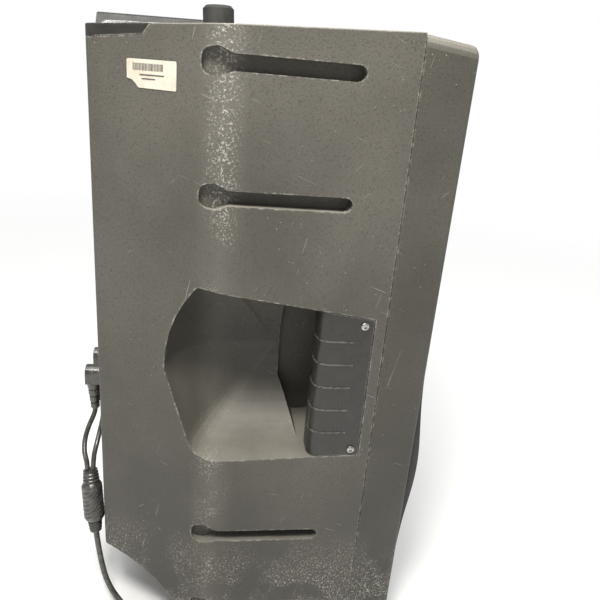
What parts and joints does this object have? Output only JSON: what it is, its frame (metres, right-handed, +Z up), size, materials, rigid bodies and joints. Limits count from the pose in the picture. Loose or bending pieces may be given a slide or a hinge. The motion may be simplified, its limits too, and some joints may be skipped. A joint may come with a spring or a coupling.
{
  "type": "powered loudspeaker",
  "caption": "Upright moulded two-way powered loudspeaker with tapered rear shell, slotted sides, scooped side handles, curved grille, rear amplifier and a forked signal cable.",
  "frame": {"origin": "centre of the cabinet's footprint box, on the floor under the feet", "axes": "+Z up, the grille faces -Y, the amplifier panel faces +Y, +X is the cabinet's left as seen from behind"},
  "size_m": [0.756, 0.4186, 0.7241],
  "materials": {
    "shell_plastic": "fine moulded grain, scuffed dark grey",
    "bezel_plastic": "fine moulded grain, darker olive grey",
    "gloss_plastic": "smooth near-black moulding",
    "rubber": "matt black",
    "plated_steel": "zinc plated, worn",
    "coated_steel": "black powder coat",
    "cast_aluminium": "bare, lightly oxidised",
    "ferrite": "ground ferrite",
    "paper": "pressed pulp, fibrous",
    "foam": "open-cell black foam",
    "cloth": "resin-treated woven cloth",
    "copper": "enamelled copper winding",
    "label_paper": "cream printed label",
    "circuit": "green solder mask",
    "cable_jacket": "black flexible jacket",
    "lamp": "clear green lens"
  },
  "bodies": {
    "cabinet": {"rear_enclosure": "shell_plastic", "front_baffle": "bezel_plastic", "front_grille": "coated_steel", "grille_foam": "foam", "side_grip_left": "gloss_plastic", "side_grip_right": "gloss_plastic", "top_handle": "gloss_plastic", "grip_screw_left_1": "plated_steel", "grip_screw_left_2": "plated_steel", "grip_screw_right_1": "plated_steel", "grip_screw_right_2": "plated_steel", "woofer_basket": "coated_steel", "woofer_top_plate": "plated_steel", "woofer_magnet": "ferrite", "woofer_yoke": "plated_steel", "woofer_surround": "rubber", "woofer_spider": "cloth", "hf_horn": "bezel_plastic", "hf_driver": "coated_steel", "amp_panel": "coated_steel", "heat_sink": "cast_aluminium", "amp_board": "circuit", "transformer": "copper", "transformer_post": "plated_steel", "input_socket_1": "gloss_plastic", "input_socket_2": "gloss_plastic", "link_output": "gloss_plastic", "power_lamp": "lamp", "mains_inlet": "gloss_plastic", "switch_housing": "gloss_plastic", "stacking_peg_left": "rubber", "stacking_peg_right": "rubber", "foot_1": "rubber", "foot_2": "rubber", "foot_3": "rubber", "foot_4": "rubber", "pole_socket": "rubber", "asset_label": "label_paper", "input_plug_1": "cable_jacket", "input_plug_2": "cable_jacket", "cable_tail_1": "cable_jacket", "cable_tail_2": "cable_jacket", "cable_junction": "cable_jacket", "cable_trunk": "cable_jacket", "cable_coil": "cable_jacket", "cable_end": "cable_jacket", "far_plug": "plated_steel"},
    "woofer_motor": {"woofer_cone": "paper", "dust_cap": "paper", "voice_coil": "copper"},
    "treble_diaphragm": {"hf_diaphragm": "cast_aluminium"},
    "knob_1": {"level_knob_1": "rubber"},
    "knob_2": {"level_knob_2": "rubber"},
    "knob_3": {"level_knob_3": "rubber"},
    "mode_key": {"mode_button": "rubber"},
    "latch_1": {"latch_tab_1": "plated_steel"},
    "latch_2": {"latch_tab_2": "plated_steel"},
    "rocker": {"power_rocker": "rubber"}
  },
  "joints": [
    {"name": "woofer_travel", "type": "slide", "parent": "cabinet", "child": "woofer_motor", "axis": [0, -1, 0], "range_m": [-0.006, 0.006], "stiffness_N_per_m": 3000, "deforming": ["woofer_surround", "woofer_spider"]},
    {"name": "diaphragm_travel", "type": "slide", "parent": "cabinet", "child": "treble_diaphragm", "axis": [0, -1, 0], "range_m": [-0.0004, 0.0004], "stiffness_N_per_m": 2000},
    {"name": "level_1_turn", "type": "hinge", "parent": "cabinet", "child": "knob_1", "pos_m": [-0.09, 0.1743, 0.4], "axis": [0, 1, 0], "range_deg": [-150, 150]},
    {"name": "level_2_turn", "type": "hinge", "parent": "cabinet", "child": "knob_2", "pos_m": [-0.04, 0.1743, 0.4], "axis": [0, 1, 0], "range_deg": [-150, 150]},
    {"name": "level_3_turn", "type": "hinge", "parent": "cabinet", "child": "knob_3", "pos_m": [0.01, 0.1743, 0.4], "axis": [0, 1, 0], "range_deg": [-150, 150]},
    {"name": "mode_press", "type": "slide", "parent": "cabinet", "child": "mode_key", "axis": [0, -1, 0], "range_m": [0, 0.002], "stiffness_N_per_m": 400},
    {"name": "latch_1_press", "type": "slide", "parent": "cabinet", "child": "latch_1", "axis": [0, -1, 0], "range_m": [0, 0.0025], "stiffness_N_per_m": 500},
    {"name": "latch_2_press", "type": "slide", "parent": "cabinet", "child": "latch_2", "axis": [0, -1, 0], "range_m": [0, 0.0025], "stiffness_N_per_m": 500},
    {"name": "rocker_tilt", "type": "hinge", "parent": "cabinet", "child": "rocker", "pos_m": [0.072, 0.1723, 0.275], "axis": [1, 0, 0], "range_deg": [-16, 0]}
  ]
}
